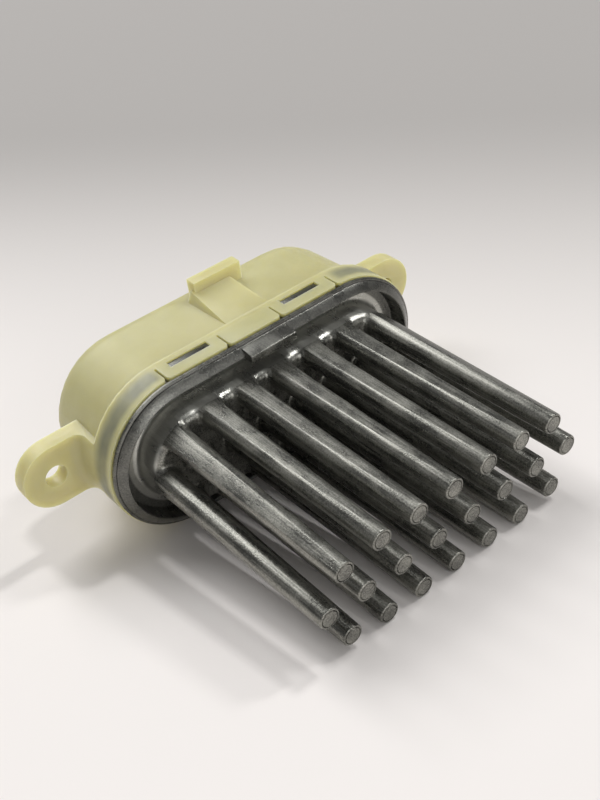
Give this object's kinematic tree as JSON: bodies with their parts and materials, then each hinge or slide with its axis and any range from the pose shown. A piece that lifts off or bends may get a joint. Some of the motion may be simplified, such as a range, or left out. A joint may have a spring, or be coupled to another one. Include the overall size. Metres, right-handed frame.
{
  "type": "blower motor resistor",
  "caption": "Die-cast pin heat sink with a clipped connector housing, which controls the speed of a vehicle's blower motor.",
  "frame": {"origin": "middle of the part's footprint, at the height of the lower long side of the housing's collar", "axes": "+X along the part, -Y towards the pin tips, +Y towards the sockets, +Z towards the hook on the upper side"},
  "size_m": [0.1088, 0.0914, 0.0411],
  "materials": {
    "casting": "as cast, grey",
    "nylon": "translucent natural nylon",
    "laminate": "solder resist",
    "package": "moulded epoxy",
    "pad": "matt",
    "spring": "bare spring steel",
    "zinc": "zinc plated",
    "tin": "tinned",
    "strip": "bare resistance alloy",
    "can": "sleeved",
    "ceramic": "fired ceramic"
  },
  "bodies": {
    "root": {"heat_sink": "casting", "housing": "nylon", "circuit_board": "laminate", "transistor_left": "package", "transistor_right": "package", "thermal_pad_left": "pad", "thermal_pad_right": "pad", "clamp_spring": "spring", "clamp_screw": "zinc", "board_screw_left": "zinc", "board_screw_right": "zinc", "shunt_resistor": "strip", "control_chip": "package", "filter_capacitor": "can", "suppressor_diode": "package", "gate_resistor_left": "ceramic", "gate_resistor_right": "ceramic", "feedback_capacitor": "ceramic", "bias_resistor": "ceramic", "supply_blade_positive": "tin", "supply_blade_negative": "tin", "signal_pin": "tin", "motor_blade_positive": "tin", "motor_blade_negative": "tin"}
  },
  "joints": []
}
